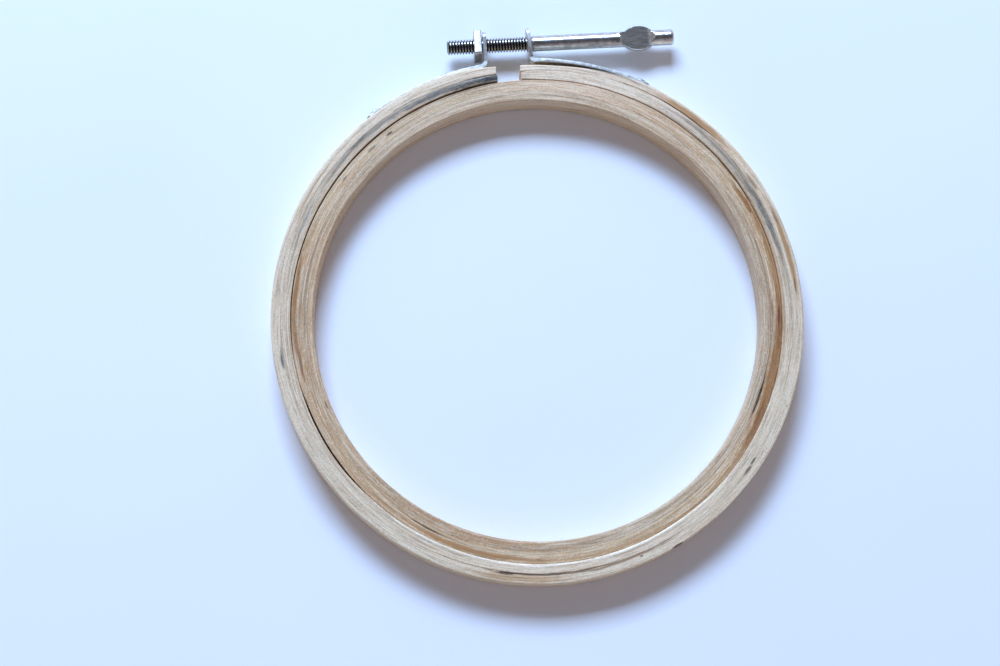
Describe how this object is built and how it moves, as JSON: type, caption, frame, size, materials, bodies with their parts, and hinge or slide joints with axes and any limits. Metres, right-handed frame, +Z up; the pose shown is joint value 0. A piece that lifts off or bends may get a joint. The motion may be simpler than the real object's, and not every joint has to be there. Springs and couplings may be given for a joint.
{
  "type": "embroidery hoop",
  "caption": "Round bamboo embroidery hoop: a plain inner ring clamped inside a split outer ring, drawn tight by a steel screw with a thumb wing.",
  "frame": {"origin": "on the hoop's axis, at its underside", "axes": "+Z up through the hoop, +X along the tension screw towards its thumb wing, +Y from the hoop's centre to the screw"},
  "size_m": [0.1424, 0.152, 0.0095],
  "materials": {
    "outer_ring_outer_ply": "bare bamboo",
    "outer_ring_inner_ply": "bare bamboo",
    "inner_ring_outer_ply": "bare bamboo",
    "inner_ring_inner_ply": "bare bamboo",
    "bracket_steel": "zinc plated",
    "nail_steel": "zinc plated",
    "screw_steel": "bright zinc plated",
    "nut_steel": "bright zinc plated"
  },
  "bodies": {
    "head_half": {"outer_ring_outer_ply_head_half": "outer_ring_outer_ply", "outer_ring_inner_ply_head_half": "outer_ring_inner_ply", "head_side_bracket": "bracket_steel", "head_bracket_nail_1": "nail_steel", "head_bracket_nail_2": "nail_steel"},
    "nut_half": {"outer_ring_outer_ply_nut_half": "outer_ring_outer_ply", "outer_ring_inner_ply_nut_half": "outer_ring_inner_ply", "nut_side_bracket": "bracket_steel", "nut_bracket_nail_1": "nail_steel", "nut_bracket_nail_2": "nail_steel"},
    "inner_ring": {"inner_ring_outer_ply": "inner_ring_outer_ply", "inner_ring_inner_ply": "inner_ring_inner_ply"},
    "tension_screw": {"tension_screw": "screw_steel"},
    "nut": {"square_nut": "nut_steel"}
  },
  "joints": [
    {"name": "ring_flex", "type": "hinge", "parent": "head_half", "child": "nut_half", "pos_m": [0, -0.0685, 0], "axis": [0, 0, 1], "range_deg": [-0.12, 2.52]},
    {"name": "nut_travel", "type": "slide", "parent": "head_half", "child": "nut", "axis": [-1, 0, 0], "range_m": [-0.00031, 0.00645]},
    {"name": "screw_turn", "type": "hinge", "parent": "head_half", "child": "tension_screw", "pos_m": [0.0032, 0.077, 0.0048], "axis": [1, 0, 0], "range_deg": [-136, 2882]},
    {"name": "inner_ring_lift", "type": "slide", "parent": "head_half", "child": "inner_ring", "axis": [0, 0, 1], "range_m": [0, 0.03]}
  ],
  "couplings": [
    {"joint": "nut_travel", "follows": "ring_flex", "m_per_rad": 0.1455},
    {"joint": "screw_turn", "follows": "ring_flex", "ratio": 1142.8}
  ]
}
